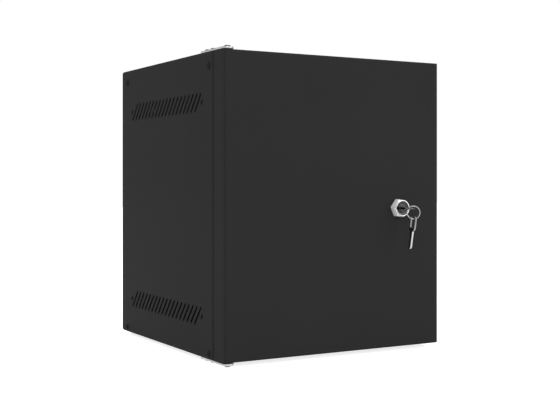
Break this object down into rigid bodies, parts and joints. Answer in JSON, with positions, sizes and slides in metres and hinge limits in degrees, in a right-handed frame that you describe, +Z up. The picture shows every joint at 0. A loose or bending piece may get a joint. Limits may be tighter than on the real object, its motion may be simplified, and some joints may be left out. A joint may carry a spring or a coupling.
{
  "type": "wall mount network cabinet",
  "caption": "Wall mount network cabinet for 10 inch equipment: folded steel body with vented sides, pivot-hung lockable steel door, rack rails, cam lock with keys on a ring.",
  "frame": {"origin": "centre of the four wall fixing holes, on the wall plane behind the rear panel", "axes": "+Z up, +Y from the door into the wall, +X to the right for someone who faces the door"},
  "size_m": [0.2844, 0.3418, 0.3434],
  "materials": {
    "powder_coat": "fine matt black powder coat",
    "zinc_steel": "bright zinc plate",
    "black_steel": "black zinc, satin",
    "lock_chrome": "bright chrome plate",
    "key_nickel": "nickel-plated, lightly brushed",
    "bumper_rubber": "matt rubber",
    "bush_nylon": "moulded nylon"
  },
  "bodies": {
    "cabinet": {"left_side_panel": "powder_coat", "right_side_panel": "powder_coat", "top_panel": "powder_coat", "bottom_panel": "powder_coat", "rear_panel": "powder_coat", "top_cable_cover": "powder_coat", "bottom_cable_cover": "powder_coat", "left_rail": "powder_coat", "right_rail": "powder_coat", "hinge_plate_top": "zinc_steel", "hinge_plate_bottom": "zinc_steel", "hinge_pin_top": "black_steel", "hinge_pin_bottom": "black_steel", "left_side_screws": "black_steel", "right_side_screws": "black_steel", "rear_screws": "black_steel", "rail_screws": "black_steel", "cable_cover_screws": "black_steel", "hinge_plate_screws": "black_steel", "rail_nuts": "black_steel", "door_bumpers": "bumper_rubber", "earth_stud_body": "zinc_steel", "earth_nuts_body": "zinc_steel"},
    "door": {"door_panel": "powder_coat", "hinge_bush_top": "bush_nylon", "hinge_bush_bottom": "bush_nylon", "lock_housing": "lock_chrome", "lock_washer": "zinc_steel", "lock_nut": "zinc_steel", "earth_stud_door": "zinc_steel", "earth_nuts_door": "zinc_steel"},
    "lock_plug": {"lock_cylinder": "lock_chrome", "lock_cam": "zinc_steel", "cam_nut": "zinc_steel"},
    "key": {"key_in_lock": "key_nickel"},
    "ring": {"key_ring": "lock_chrome"},
    "spare": {"spare_key": "key_nickel"}
  },
  "joints": [
    {"name": "door_hinge", "type": "hinge", "parent": "cabinet", "child": "door", "pos_m": [-0.1335, -0.3038, 0], "axis": [0, 0, -1], "range_deg": [0, 180]},
    {"name": "lock_turn", "type": "hinge", "parent": "door", "child": "lock_plug", "pos_m": [0.083, -0.31, -0.0052], "axis": [0, -1, 0], "range_deg": [0, 90]},
    {"name": "key_slide", "type": "slide", "parent": "lock_plug", "child": "key", "axis": [0, -1, 0], "range_m": [0, 0.022]},
    {"name": "ring_swing", "type": "hinge", "parent": "key", "child": "ring", "pos_m": [0.0868, -0.3348, -0.00245], "axis": [0.8508, -0.5255, 0], "range_deg": [-8, 12]},
    {"name": "spare_swing", "type": "hinge", "parent": "ring", "child": "spare", "pos_m": [0.0868, -0.3348, -0.01715], "axis": [0.8508, -0.5255, 0], "range_deg": [-20, 10]}
  ]
}
